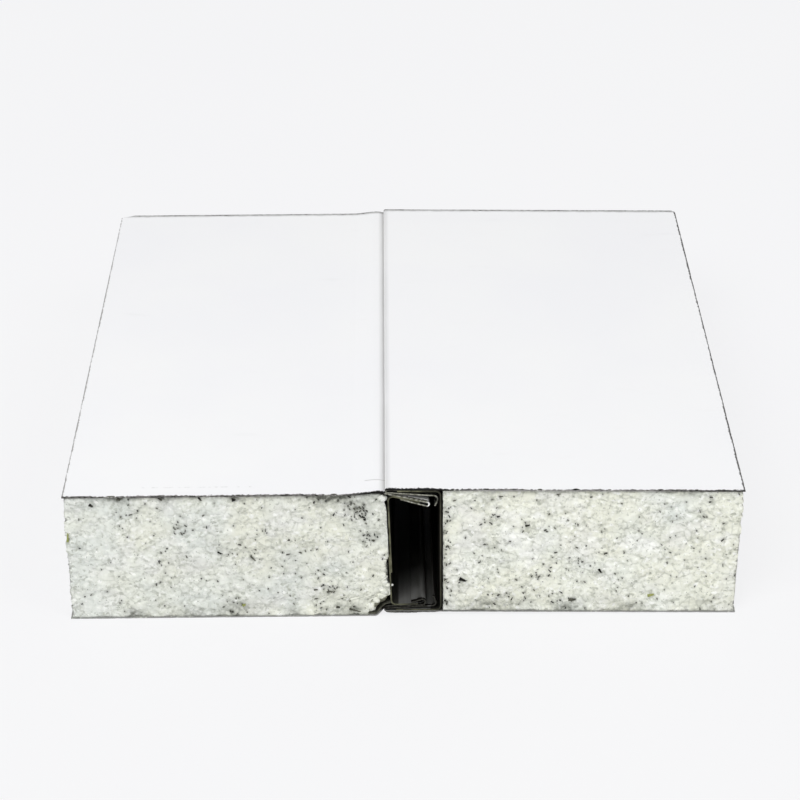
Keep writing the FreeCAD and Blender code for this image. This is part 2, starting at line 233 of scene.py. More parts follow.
def cut_band(paint, axis, end, width, torn):
    """1 along a pair of sawn ends, 0 over the rest, with a more or less torn inner border."""
    ragged = torn * width
    fine = paint.band(paint.noise(0.9 * MM, 4.0), 0.3, 0.7, -0.6 * ragged, 0.6 * ragged)
    slow = paint.band(paint.noise(11 * MM, 3.0), 0.35, 0.65, -0.5 * ragged, 0.3 * ragged)
    reach = paint.sums("ADD", paint.sums("ABSOLUTE", axis), paint.sums("ADD", fine, slow))
    return paint.band(reach, end - width, end - 0.5 * width)


def between(paint, value, low, high, soft):
    """1 where a value lies between two others, fading over a soft edge."""
    rise = paint.band(value, low - soft, low)
    fall = paint.band(value, high, high + soft, 1.0, 0.0)
    return paint.sums("MULTIPLY", rise, fall)


def white_paint(ends):
    """Coil-coated sheet: white outside with rubs and a groove darkened by dirt and painted shade, dull
    inside, burred at the saw cut.
    """
    paint = Recipe("white_coil_paint", 0.34)
    across, along, height = paint.axes(paint.place)
    _, facing, tilt = paint.axes(paint.coordinates.outputs["Normal"])
    cloud = paint.band(paint.noise(60 * MM, 3.0), 0.35, 0.65)
    white = paint.mix(cloud, (0.898, 0.898, 0.910, 1), (0.915, 0.915, 0.915, 1))
    rub = paint.band(paint.noise(7 * MM, 6.0, (0.3, 1, 1)), 0.66, 0.78, 0.0, 0.25)
    white = paint.mix(rub, white, (0.80, 0.80, 0.80, 1))
    # The groove's soft grey band is partly painted shade, where the right skin's raised fold shades the left
    # skin beside it, and partly dirt gathered in the groove.
    side = paint.sums("ABSOLUTE", paint.sums("SUBTRACT", across, GROOVE))
    away = paint.band(side, 0.1 * MM, 2.2 * MM, 0.48, 0.0)
    groove_dirt_and_shade = paint.sums("MINIMUM", away, paint.band(side, 0.0, 0.6 * MM, 0.05, 0.48))
    patchy = paint.band(paint.noise(14 * MM, 4.0, (1, 0.5, 1)), 0.3, 0.6, 0.75, 1.05)
    groove_dirt_and_shade = paint.sums("MULTIPLY", groove_dirt_and_shade, patchy)
    white = paint.mix(groove_dirt_and_shade, white, (0.40, 0.40, 0.39, 1))
    line = between(paint, along, -109.6 * MM, -109.3 * MM, 0.2 * MM)
    line = paint.sums("MULTIPLY", line, between(paint, across, -13.0 * MM, -6.8 * MM, 0.8 * MM))
    dots = between(paint, along, -112.2 * MM, -111.8 * MM, 0.2 * MM)
    dots = paint.sums("MULTIPLY", dots, between(paint, across, -90 * MM, -53 * MM, 2 * MM))
    dots = paint.sums("MULTIPLY", dots, paint.band(paint.noise(1.6 * MM), 0.52, 0.62, 0.0, 0.35))
    marks = paint.sums("MAXIMUM", paint.sums("MULTIPLY", line, 0.6), dots)
    white = paint.mix(marks, white, (0.42, 0.41, 0.40, 1))
    far = paint.sums("ADD", along, paint.band(paint.noise(3 * MM, 3.0), 0.3, 0.7, -0.3 * MM, 0.3 * MM))
    far = paint.band(far, ends[1] - 2.5 * MM, ends[1] - 0.9 * MM, 0.0, 0.80)
    white = paint.mix(far, white, (0.31, 0.31, 0.30, 1))
    slope = paint.sums("MULTIPLY_ADD", across, PANEL_LEAN, height)
    back = sheet_back(paint, across, paint.sums("ABSOLUTE", along))
    # Painted light on the lip's upper face near the duct's mouths, laid over the skin's dull back.
    lip = lip_face(paint, across, along, height, tilt)
    back = paint.mix(lip, back, (0.80, 0.80, 0.77, 1))
    colour = paint.mix(outer_side(paint, across, height, slope, tilt), back, white)
    sides = cut_band(paint, paint.sums("ADD", across, 0.08 * MM), ends[0], 0.7 * MM, 0.5)
    side_tone = paint.mix(paint.band(across, -1 * MM, 1 * MM), (0.36, 0.35, 0.34, 1), (0.11, 0.105, 0.10, 1))
    colour = paint.mix(sides, colour, side_tone)
    # Painted shade: the sawn front edge near the joint, under the fold, is painted nearly black.
    is_front = paint.band(along, -10 * MM, 10 * MM, 1.0, 0.0)
    near_joint = between(paint, across, -12 * MM, 14 * MM, 12 * MM)
    black = paint.sums("MULTIPLY", is_front, near_joint)
    speckle = paint.band(paint.noise(1.2 * MM), 0.36, 0.60)
    sawn = paint.mix(speckle, (0.045, 0.042, 0.038, 1), (0.24, 0.23, 0.22, 1))
    pale = between(paint, slope, 51.1 * MM, 51.6 * MM, 0.1 * MM)
    pale = paint.sums("MULTIPLY", pale, paint.band(across, 14 * MM, 18 * MM))
    pale = paint.sums("MULTIPLY", pale, paint.band(across, 86 * MM, 98 * MM, 0.7, 0.0))
    sawn = paint.mix(pale, sawn, (0.44, 0.43, 0.42, 1))
    sawn = paint.mix(paint.band(across, 90 * MM, 104 * MM, 0.0, 0.6), sawn, (0.03, 0.03, 0.028, 1))
    sawn = paint.mix(black, sawn, (0.008, 0.007, 0.006, 1))
    sawn = paint.mix(paint.band(height, 3 * MM, 1 * MM), sawn, (0.34, 0.34, 0.33, 1))
    lips = between(paint, across, -6 * MM, 11 * MM, 1 * MM)
    lips = paint.sums("MULTIPLY", lips, paint.band(slope, 51.4 * MM, 51.2 * MM))
    lips = paint.sums("MULTIPLY", lips, paint.band(height, 40 * MM, 42 * MM, 0.10, 1.0))
    cut_face = paint.band(paint.sums("ABSOLUTE", facing), 0.5, 0.8)
    glint = paint.band(paint.noise(1.0 * MM), 0.40, 0.62)
    silver = paint.mix(glint, (0.12, 0.12, 0.09, 1), (0.46, 0.46, 0.40, 1))
    # Painted highlight on the rounded end of the hem inside the joint.
    tip_highlight = between(paint, across, 8.5 * MM, 9.2 * MM, 0.5 * MM)
    tip_highlight = paint.sums("MULTIPLY", tip_highlight, paint.band(height, 47.4 * MM, 47.0 * MM))
    silver = paint.mix(tip_highlight, silver, (0.82, 0.82, 0.80, 1))
    lips = paint.sums("MULTIPLY", lips, paint.sums("MAXIMUM", cut_face, lip))
    sawn = paint.mix(lips, sawn, silver)
    burred = paint.sums("MULTIPLY", is_front, between(paint, across, -6 * MM, 12 * MM, 5 * MM))
    outward = paint.sums("MULTIPLY_ADD", burred, 0.6 * MM, paint.sums("ABSOLUTE", along))
    edge = cut_band(paint, outward, ends[1], CUT_BAND, 1.0)
    colour = paint.mix(edge, colour, sawn)
    rim = paint.sums("MAXIMUM", edge, sides)
    grain = paint.bump(paint.noise(0.7 * MM, 2.0), 0.01 * MM, 0.25)
    burr = paint.bump(paint.sums("MULTIPLY", edge, paint.noise(0.5 * MM)), 0.2 * MM, 0.8, grain)
    roughness = paint.band(rim, 0.0, 1.0, 0.36, 0.6)
    metal = paint.band(rim, 0.0, 1.0, 0.0, 0.9)
    return paint.finish(colour, roughness, burr, metal)


def outer_side(paint, across, height, slope, tilt):
    """1 on a skin's painted outside, 0 on its back and on the folds that hide in the joint."""
    left = paint.band(across, -6.1 * MM, -5.9 * MM, 1.0, 0.0)
    right = paint.band(slope, 51.50 * MM, 51.56 * MM)
    nose = paint.band(across, -5.4 * MM, -5.7 * MM)
    nose = paint.sums("MULTIPLY", nose, paint.band(slope, 50.9 * MM, 51.1 * MM))
    right = paint.sums("MAXIMUM", right, nose)
    upper = paint.sums("MULTIPLY", paint.band(height, 43 * MM, 44 * MM), paint.band(tilt, 0.2, 0.4))
    upper = paint.sums("MULTIPLY", upper, paint.sums("MAXIMUM", left, right))
    lower = paint.sums("MULTIPLY", paint.band(height, 3 * MM, 2 * MM), paint.band(tilt, -0.2, -0.4))
    return paint.sums("MAXIMUM", upper, lower)


def lip_face(paint, across, along, height, tilt):
    """Painted light: 1 on the upper face of the hemmed lip near the duct's mouths, where light still reaches
    it.
    """
    level = paint.sums("MULTIPLY_ADD", across, LIP_SLOPE, height)
    lip = between(paint, level, 48.6 * MM, 49.1 * MM, 0.1 * MM)
    lip = paint.sums("MULTIPLY", lip, between(paint, across, -5 * MM, 8.4 * MM, 0.5 * MM))
    lip = paint.sums("MULTIPLY", lip, paint.band(tilt, 0.2, 0.4))
    return paint.sums("MULTIPLY", lip, paint.band(paint.sums("ABSOLUTE", along), 110 * MM, 115 * MM))


def duct_light_and_shade(sheet, depth):
    """Painted shade for the duct's inside: black in the depth, paler with painted light toward its two
    mouths.
    """
    return sheet.mix(sheet.band(depth, 94 * MM, 115 * MM), (0.008, 0.008, 0.007, 1), (0.115, 0.115, 0.110, 1))


def sheet_back(paint, across, depth):
    """The skins' inside: pale with foam residue, olive at the foot's step, with painted shade in the duct,
    paler with painted light at its mouths.
    """
    grime = paint.band(paint.noise(2.2 * MM, 5.0, (1, 0.2, 1)), 0.4, 0.65)
    inside = paint.band(across, -7 * MM, -3 * MM)
    dull = paint.mix(inside, (0.17, 0.17, 0.13, 1), duct_light_and_shade(paint, depth))
    grime = paint.sums("MULTIPLY", grime, 0.6)
    dull = paint.mix(grime, dull, (0.026, 0.026, 0.022, 1))
    # Painted shade: past 7 mm across, in the fold beyond the joint, the inside is darkened almost to black.
    dull = paint.mix(paint.band(across, 7.2 * MM, 10.5 * MM, 0.0, 0.75), dull, (0.012, 0.012, 0.010, 1))
    pale = paint.mix(paint.sums("MULTIPLY", grime, 0.6), (0.52, 0.53, 0.48, 1), (0.16, 0.16, 0.13, 1))
    return paint.mix(between(paint, across, -13 * MM, 13 * MM, 1 * MM), pale, dull)


def bare_sheet(ends):
    """Bare steel, kept near black as painted shade inside the duct: drawn marks along the joint, painted
    light toward the mouths on the foot, a burred sawn end darkened with painted shade low down and beyond the
    joint.
    """
    sheet = Recipe("bare_dull_sheet", 0.5)
    across, along, height = sheet.axes(sheet.place)
    depth = sheet.sums("ABSOLUTE", along)
    drawn = sheet.noise(1.2 * MM, 4.0, (1, 0.04, 1))
    # Painted shade: the drawn steel is near black, far darker than bare steel, so the duct reads dark.
    tone = sheet.mix(sheet.band(drawn, 0.35, 0.65), (0.010, 0.010, 0.008, 1), (0.024, 0.024, 0.020, 1))
    # Painted light: the foot pales toward the duct's mouths.
    foot = between(sheet, across, -1.8 * MM, 9 * MM, 0.5 * MM)
    foot = sheet.sums("MULTIPLY", foot, sheet.band(height, 5.6 * MM, 5.3 * MM))
    foot = sheet.sums("MULTIPLY", foot, sheet.band(drawn, 0.2, 0.8, 1.0, 0.6))
    tone = sheet.mix(foot, tone, duct_light_and_shade(sheet, depth))
    sawn = sheet.band(depth, ends[1] - 0.25 * MM, ends[1] - 0.05 * MM)
    patch = sheet.band(sheet.noise(3.5 * MM, 5.0), 0.36, 0.64)
    burr = sheet.mix(patch, (0.035, 0.035, 0.020, 1), (0.155, 0.155, 0.095, 1))
    # Painted shade on the sawn end beyond 5 mm across and low down, where little light reaches.
    low_down = sheet.band(height, 7 * MM, 5 * MM, 0.0, 0.6)
    burr_shade = sheet.sums("MAXIMUM", sheet.band(across, 5 * MM, 8 * MM), low_down)
    burr = sheet.mix(sheet.sums("MULTIPLY", burr_shade, 0.75), burr, (0.010, 0.010, 0.006, 1))
    tone = sheet.mix(sawn, tone, burr)
    marks = sheet.bump(drawn, 0.05 * MM, 0.3)
    sheet.shader.inputs["Specular IOR Level"].default_value = 0.2
    return sheet.finish(tone, sheet.band(drawn, 0.3, 0.7, 0.45, 0.65), marks)


def saw_chips():
    """Dark steel chips and soot from the saw."""
    steel = Recipe("saw_chips", 0.6)
    patch = steel.band(steel.noise(5 * MM), 0.40, 0.66)
    tone = steel.mix(patch, (0.010, 0.010, 0.008, 1), (0.12, 0.12, 0.095, 1))
    steel.shader.inputs["Specular IOR Level"].default_value = 0.1
    return steel.finish(tone)


def old_glue():
    """Olive-grey glue, dirty with saw dust."""
    glue = Recipe("old_glue", 0.55)
    patch = glue.band(glue.noise(1.1 * MM, 4.0), 0.35, 0.65)
    tone = glue.mix(patch, (0.075, 0.075, 0.050, 1), (0.30, 0.30, 0.22, 1))
    return glue.finish(tone, normal=glue.bump(glue.noise(0.6 * MM, 3.0), 0.2 * MM, 0.5))


def olive_flecks():
    """A few yellow-green flecks of scorched primer."""
    fleck = Recipe("olive_flecks", 0.6)
    patch = fleck.band(fleck.noise(0.8 * MM), 0.35, 0.65)
    tone = fleck.mix(patch, (0.16, 0.19, 0.035, 1), (0.33, 0.34, 0.12, 1))
    return fleck.finish(tone)


def studio_floor():
    """Pale floor: as bright as the sky to the eye and in reflections, yet still taking a soft shadow."""
    floor = Recipe("studio_floor", 0.9)
    cloud = floor.band(floor.noise(0.4, 2.0), 0.3, 0.7)
    tint = floor.mix(cloud, (0.918, 0.918, 0.934, 1), (0.928, 0.928, 0.936, 1))
    floor.shader.inputs["Specular IOR Level"].default_value = 0.0
    floor.finish(tint)
    path = floor.add("ShaderNodeLightPath")
    seen = floor.sums("MAXIMUM", path.outputs["Is Camera Ray"], path.outputs["Is Glossy Ray"])
    seen = floor.sums("MAXIMUM", seen, path.outputs["Is Transmission Ray"])
    glow = floor.add("ShaderNodeEmission")
    floor.feed(glow.inputs["Color"], tint)
    glow.inputs["Strength"].default_value = 1.0
    blend = floor.add("ShaderNodeMixShader")
    floor.feed(blend.inputs[0], floor.sums("MULTIPLY", seen, FLOOR_GLOW))
    floor.tree.links.new(floor.shader.outputs[0], blend.inputs[1])
    floor.tree.links.new(glow.outputs[0], blend.inputs[2])
    floor.tree.links.new(blend.outputs[0], floor.tree.nodes["Material Output"].inputs["Surface"])
    return floor.material


# ---------------------------------------------------------------- foam cores

def outline_chains(node):
    """The corners of a core's front outline, as a left and a right chain from foot to head."""
    low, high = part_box(node)
    middle = (low[0] + high[0]) / 2
    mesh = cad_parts[node].data
    corners = {(round(v.co.x, 6), round(v.co.z, 6)) for v in mesh.vertices if v.co.y < low[1] + MM}
    chains = []
    for is_left in (True, False):
        chain = [corner for corner in corners if (corner[0] < middle) == is_left]
        chains.append(sorted(chain, key=lambda corner: corner[1]))
    return chains


def along_chain(chain, share):
    """The point of a chain at a share of its height."""
    height = chain[0][1] + share * (chain[-1][1] - chain[0][1])
    for (x0, z0), (x1, z1) in zip(chain, chain[1:]):
        if height <= z1:
            reach = (height - z0) / (z1 - z0)
            return Vector((x0 + reach * (x1 - x0), 0, height))
    return Vector((chain[-1][0], 0, chain[-1][1]))


def relief(place):
    """How deep a cut foam face lies at a place: beads at odd heights, domed, with torn skin."""
    distances, centres = noise.voronoi(place / BEAD_SIZE)
    bead = noise.cell_vector(centres[0] * BEAD_SHUFFLE).x
    dome = min(distances[0], 0.8) ** 2
    tear = abs(noise.fractal(place / (2.1 * MM), 0.9, 2.1, 4))
    return FOAM_SINK + BEAD_STEP * bead + BEAD_DOME * dome + TEAR * min(tear, 1.0)


def end_fall(node, place, share):
    """How far a core's outer side falls back, from foot to head: ragged, torn most near the sawn faces."""
    falls = {"left_core": (0.4, 0.3, 0.1, 0.3, 0.1, 0.0, 0.0, 0.0, 0.2, 0.8),
             "right_core": (1.3, 1.0, 0.6, 0.5, 0.7, 0.4, 0.1, 0.0, 0.0, 0.4)}[node]
    spot = share * (len(falls) - 1)
    index = min(int(spot), len(falls) - 2)
    fall = falls[index] + (spot - index) * (falls[index + 1] - falls[index])
    streak = Vector((place.x, 0.15 * place.y, place.z)) / (2.0 * MM)
    mouth = math.exp(-(ends[1] - abs(place.y)) / END_TEAR)
    rim = 0.35 + 0.15 * mouth + (0.9 + 1.6 * mouth) * noise.fractal(streak, 0.7, 2.0, 4)
    return (fall + min(1.5, max(0.0, rim))) * MM


def rim_keep(share):
    """How much of the relief stays near the lower skin, where the saw left the foam flush."""
    return min(1.0, 0.2 + share / 0.05)


def edge_pits(place, share):
    """Bits torn out of the foam just under the upper skin, fewer over the lower one."""
    rim = max(0.0, 1 - (1 - share) / 0.06) + 0.4 * max(0.0, 1 - share / 0.05)
    pit = noise.noise(place / (4.5 * MM) + Vector((31, 7, 5)))
    return rim * max(0.0, pit) * 2.6 * MM


def wall_gap(node, place, share):
    """How far a core stands off the duct wall: ragged, torn away low on the left core and at its foot."""
    lump = 0.5 + 0.5 * noise.noise(place / (3.2 * MM))
    crumb = abs(noise.fractal(place / (1.8 * MM), 0.8, 2.0, 3))
    torn = foot = 0.0
    near = 0.45
    if node == "left_core":
        near = -0.12
        torn = min(1.0, 2.5 * max(0.0, 1 - abs(share - 0.36) / 0.12))
        foot = 0.5 if share < 0.17 else 0.0
    gap = near + 0.16 * lump + 0.4 * crumb ** 2
    gap += torn * (0.35 + 1.2 * lump + 0.7 * crumb)
    return (gap + foot * crumb) * MM


def sootiness(node, place, share, is_cut):
    """How sooty a cut face is: thick in clusters and smears, patchy along the skins and the duct walls."""
    total = 0.0
    x, z = place.x / MM, place.z / MM
    if is_cut:
        is_left = node == "left_core"
        for across, up, spread, count in (LEFT_SOOT if is_left else RIGHT_SOOT):
            total += 0.006 * count * math.exp(-0.5 * ((x - across) ** 2 + (z - up) ** 2) / spread ** 2)
        for across, up, spread, strength in (LEFT_SMEARS if is_left else RIGHT_SMEARS):
            away = (x - across) ** 2 / spread ** 2 + (z - up) ** 2 / (0.5 * spread) ** 2
            total += strength * math.exp(-0.5 * away)
        wall = max(0.0, -4.9 - x) if is_left else max(0.0, x - 13.0)
        total += (0.25 if is_left else 0.65) * math.exp(-wall / 0.9)
    patch = max(0.0, noise.noise(place / (6 * MM) + Vector((3, 11, 2))) + 0.1)
    top = math.exp(-(1 - share) / 0.018) * (0.25 + 0.9 * patch)
    low = math.exp(-share / 0.06) * (0.1 + 0.7 * patch)
    return min(0.9, total + top + low)


def foam_core(node, outer_share, chips):
    """One core: a block with finely cut faces, fitted to the CAD outline and roughened inwards."""
    low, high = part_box(node)
    depth = high[1] - low[1]
    chains = outline_chains(node)
    halos = chip_halos(node, chains, outer_share, chips)
    mesh = bmesh.new()
    bmesh.ops.create_cube(mesh, size=1.0)
    bmesh.ops.translate(mesh, verts=mesh.verts, vec=(0.5, 0.5, 0.5))
    lids = [face for face in mesh.faces if abs(face.normal.z) > 0.5]
    bmesh.ops.delete(mesh, geom=lids, context="FACES_ONLY")
    sizes = (high[0] - low[0], depth, high[2] - low[2])
    for axis in range(3):
        edges = [e for e in mesh.edges if abs((e.verts[0].co - e.verts[1].co)[axis]) > 0.5]
        cuts = round(sizes[axis] / FOAM_GRID) - 1
        bmesh.ops.subdivide_edges(mesh, edges=edges, cuts=cuts, use_grid_fill=True)
    soot = mesh.verts.layers.float.new("soot")
    inward = 1 if outer_share == 0 else -1
    for vert in mesh.verts:
        across, along, up = vert.co
        spot = along_chain(chains[0], up).lerp(along_chain(chains[1], up), across)
        spot.y = low[1] + along * depth
        sink = Vector((0, 0, 0))
        is_front = along < 1e-4
        pits = edge_pits(spot, up)
        if is_front or along > 1 - 1e-4:
            sink.y = (relief(spot) * rim_keep(up) + pits) * (1 if is_front else -1)
        if abs(across - outer_share) < 1e-4:
            sink.x = (0.2 * relief(spot) + pits + end_fall(node, spot, up)) * inward
        elif abs(across - (1 - outer_share)) < 1e-4:
            sink.x = -wall_gap(node, spot, up) * inward
        vert[soot] = sootiness(node, spot, up, is_front) + (smudge(halos, spot) if sink.y else 0.0)
        vert.co = spot + sink
    middle = (low[2] + high[2]) / 2
    for is_head in (False, True):
        rim = [e for e in mesh.edges if e.is_boundary and (e.verts[0].co.z > middle) == is_head]
        bmesh.ops.contextual_create(mesh, geom=rim)
    bmesh.ops.recalc_face_normals(mesh, faces=mesh.faces)
    return add_piece(node + "_cut", mesh, MATERIALS["foam"], smooth=True, replaces=node)


def add_piece(name, mesh, material, smooth=False, replaces=None):
    """Turn a finished bmesh into a piece of the object that rides with it."""
    data = bpy.data.meshes.new(name)
    mesh.to_mesh(data)
    mesh.free()
    for face in data.polygons:
        face.use_smooth = smooth
    data.materials.append(material)
    piece = bpy.data.objects.new(name, data)
    bpy.context.scene.collection.objects.link(piece)
    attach(piece, "root")
    if replaces:
        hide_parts(replaces)
    return piece


def bead_crumbs(name, crumbs):
    """Whole beads that broke loose at the front cut: across, up, radius, how long for their height."""
    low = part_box("left_core")[0]
    mesh = bmesh.new()
    for index, (across, up, radius, stretch) in enumerate(crumbs):
        made = bmesh.ops.create_icosphere(mesh, subdivisions=3, radius=1.0)["verts"]
        for vert in made:
            away = Vector((index * 7, 3, 1))
            lump = 0.95 + 0.30 * noise.fractal(vert.co * 1.3 + away, 0.7, 2.0, 4)
            vert.co = Vector((vert.co.x * stretch, vert.co.y * 0.7, vert.co.z)) * lump * radius * MM
        front = min(vert.co.y for vert in made)
        bmesh.ops.translate(mesh, verts=made, vec=(across * MM, low[1] + 0.2 * MM - front, up * MM))
    return add_piece(name, mesh, MATERIALS["foam"], smooth=True)


# ---------------------------------------------------------------- chips

def chip(mesh, place, outward, size, turn):
    """One flat sliver lying on a face."""
    made = bmesh.ops.create_cube(mesh, size=1.0)["verts"]
    lie = outward.to_track_quat("Z", "Y").to_matrix().to_4x4() @ Matrix.Rotation(turn, 4, "Z")
    shape = Matrix.Diagonal((size[0], size[1], size[2], 1))
    taper = 0.45
    for vert in made:
        if vert.co.x > 0:
            vert.co.y *= taper
            vert.co.x += 0.3 * vert.co.y
    bmesh.ops.transform(mesh, matrix=Matrix.Translation(place) @ lie @ shape, verts=made)


def chip_size(rng):
    """Length, width and turn of a common chip."""
    length = rng.uniform(0.35, 0.8) * MM * rng.choice((0.6, 0.8, 1.0, 1.0, 1.7))
    return length, min(length, rng.uniform(0.25, 0.45) * MM), rng.uniform(0, math.pi)


def chip_spots(node, face_count, clusters, singles, seed):
    """Where saw chips stuck to a core's cut faces: thin over all, thick in a few clusters at the front."""
    rng = random.Random(seed)
    low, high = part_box(node)
    spots = []
    for face, count in (("front", face_count), ("back", face_count), ("end", 2 * face_count)):
        for _ in range(count):
            spots.append((face, rng.random(), rng.random() ** 1.1, chip_size(rng)))
    for across, up, spread, count in clusters:
        for _ in range(count):
            share = (rng.gauss(across, spread) * MM - low[0]) / (high[0] - low[0])
            spots.append(("front", share, rng.gauss(up, spread) * MM / high[2], chip_size(rng)))
    for across, up, length, width, turn in singles:
        share = (across * MM - low[0]) / (high[0] - low[0])
        spots.append(("front", share, up * MM / high[2], (length * MM, width * MM, math.radians(turn))))
    return [spot for spot in spots if 0.01 < spot[1] < 0.99 and 0.015 < spot[2] < 0.985]


def face_place(node, chains, outer_share, face, share, up):
    """A place on the plain outline of one cut face of a core, and the way that face looks."""
    low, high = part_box(node)
    if face == "end":
        place = along_chain(chains[0 if outer_share == 0 else 1], up)
        place.y = low[1] + share * (high[1] - low[1])
        return place, Vector((-1 if outer_share == 0 else 1, 0, 0))
    place = along_chain(chains[0], up).lerp(along_chain(chains[1], up), share)
    place.y = low[1] if face == "front" else high[1]
    return place, Vector((0, -1 if face == "front" else 1, 0))


def chip_halos(node, chains, outer_share, chips):
    """A search tree of the chips' places, with each chip's length."""
    tree = KDTree(len(chips))
    for index, (face, share, up, size) in enumerate(chips):
        tree.insert(face_place(node, chains, outer_share, face, share, up)[0], index)
    tree.balance()
    return tree, [size[0] for _, _, _, size in chips]


def smudge(halos, place):
    """The soft ring of soot that the nearest chip leaves around itself."""
    tree, lengths = halos
    _, index, distance = tree.find(place)
    reach = 0.35 * MM + 0.5 * lengths[index]
    return CHIP_SOOT * math.exp(-(distance / reach) ** 2)


def scatter_chips(node, outer_share, chips):
    """Lay the saw chips on a core's cut faces."""
    chains = outline_chains(node)
    mesh = bmesh.new()
    for face, share, up, (length, width, turn) in chips:
        place, outward = face_place(node, chains, outer_share, face, share, up)
        if face == "end":
            depth = 0.2 * relief(place) + edge_pits(place, up) + end_fall(node, place, up)
        else:
            depth = relief(place) * rim_keep(up) + edge_pits(place, up)
        lift = min(depth - CHIP_LIFT, CHIP_LIFT)
        chip(mesh, place - outward * (depth - lift), outward, (length, width, CHIP_THICK), turn)
    return add_piece(node + "_chips", mesh, MATERIALS["chips"])


def flecks(name, spots, material):
    """A few single flecks on the front cut: across, up, length, width, turn in degrees."""
    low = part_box("left_core")[0]
    mesh = bmesh.new()
    for across, up, length, width, turn in spots:
        place = Vector((across * MM, low[1] + 0.35 * MM, up * MM))
        chip(mesh, place, Vector((0, -1, 0)), (length * MM, width * MM, 0.7 * MM), math.radians(turn))
    return add_piece(name, mesh, material)


def burrs(name, spots):
    """Lumps of rolled-up swarf on a skin's front edge: across, up, length, half height."""
    mesh = bmesh.new()
    for across, up, length, tall in spots:
        made = bmesh.ops.create_icosphere(mesh, subdivisions=2, radius=1.0)["verts"]
        for vert in made:
            lump = 0.9 + 0.25 * noise.noise(vert.co * 2.1 + Vector((across, 0, up)))
            vert.co = Vector((vert.co.x * length / 2, vert.co.y * 0.25, vert.co.z * tall)) * lump * MM
        bmesh.ops.translate(mesh, verts=made, vec=(across * MM, 0.32 * MM - ends[1], up * MM))
    return add_piece(name, mesh, MATERIALS["chips"], smooth=True)


def glue_smears(name, smears):
    """Old glue squeezed out at the left foot's step: across, up, length, half height, turn."""
    mesh = bmesh.new()
    for across, up, length, tall, turn in smears:
        made = bmesh.ops.create_icosphere(mesh, subdivisions=4, radius=1.0)["verts"]
        lie = Matrix.Rotation(math.radians(-turn), 4, "Y")
        for vert in made:
            lump = 0.9 + 0.25 * noise.fractal(vert.co * 1.7 + Vector((across, 0, up)), 0.7, 2.0, 4)
            vert.co = lie @ (Vector((vert.co.x * length / 2, vert.co.y * 0.7, vert.co.z * tall)) * lump * MM)
        bmesh.ops.translate(mesh, verts=made, vec=(across * MM, 1.25 * MM - ends[1], up * MM))
    return add_piece(name, mesh, MATERIALS["glue"], smooth=True)


# ---------------------------------------------------------------- sheets

def sawn_skin(node, corner_cuts):
    """A painted skin with its sawn edges nicked, and its outer back corner cut along the given planes."""
    low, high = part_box(node)
    mesh = bmesh.new()
    mesh.from_mesh(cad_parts[node].data)
    bmesh.ops.remove_doubles(mesh, verts=mesh.verts, dist=0.001 * MM)
    bmesh.ops.dissolve_limit(mesh, angle_limit=math.radians(0.3), verts=mesh.verts, edges=mesh.edges)
    for point, outward in corner_cuts:
        everything = mesh.verts[:] + mesh.edges[:] + mesh.faces[:]
        bmesh.ops.bisect_plane(mesh, geom=everything, plane_co=point, plane_no=outward, clear_outer=True)
        bmesh.ops.holes_fill(mesh, edges=[e for e in mesh.edges if e.is_boundary])
    steps = round((high[0] - low[0]) / SHEET_STEP)
    for step in range(1, steps):
        cut = Vector((low[0] + (high[0] - low[0]) * step / steps, 0, 0))
        everything = mesh.verts[:] + mesh.edges[:] + mesh.faces[:]
        bmesh.ops.bisect_plane(mesh, geom=everything, plane_co=cut, plane_no=(1, 0, 0))
    outer = max(-low[0], high[0])
    reach = outer - 1.5 * SHEET_STEP
    long_edges = [e for e in mesh.edges if abs(e.verts[0].co.x) > reach and abs(e.verts[1].co.x) > reach
                  and abs(e.verts[0].co.y - e.verts[1].co.y) > 50 * MM]
    bmesh.ops.subdivide_edges(mesh, edges=long_edges, cuts=round((high[1] - low[1]) / SHEET_STEP))
    for vert in mesh.verts:
        x, y, z = vert.co
        nick = abs(noise.noise(Vector((x, y, 0)) / (1.9 * MM) + Vector((z > 25 * MM, 5, 9)))) * SHEET_BITE
        if abs(y) > high[1] - 0.02 * MM:
            vert.co.y -= math.copysign(nick, y)
        if abs(x) > outer - 0.02 * MM:
            vert.co.x -= math.copysign(nick, x)
    bmesh.ops.recalc_face_normals(mesh, faces=mesh.faces)
    piece = add_piece(node + "_sawn", mesh, MATERIALS["paint"], smooth=True, replaces=node)
    piece.data.set_sharp_from_angle(angle=math.radians(35))
    return piece


# ---------------------------------------------------------------- studio

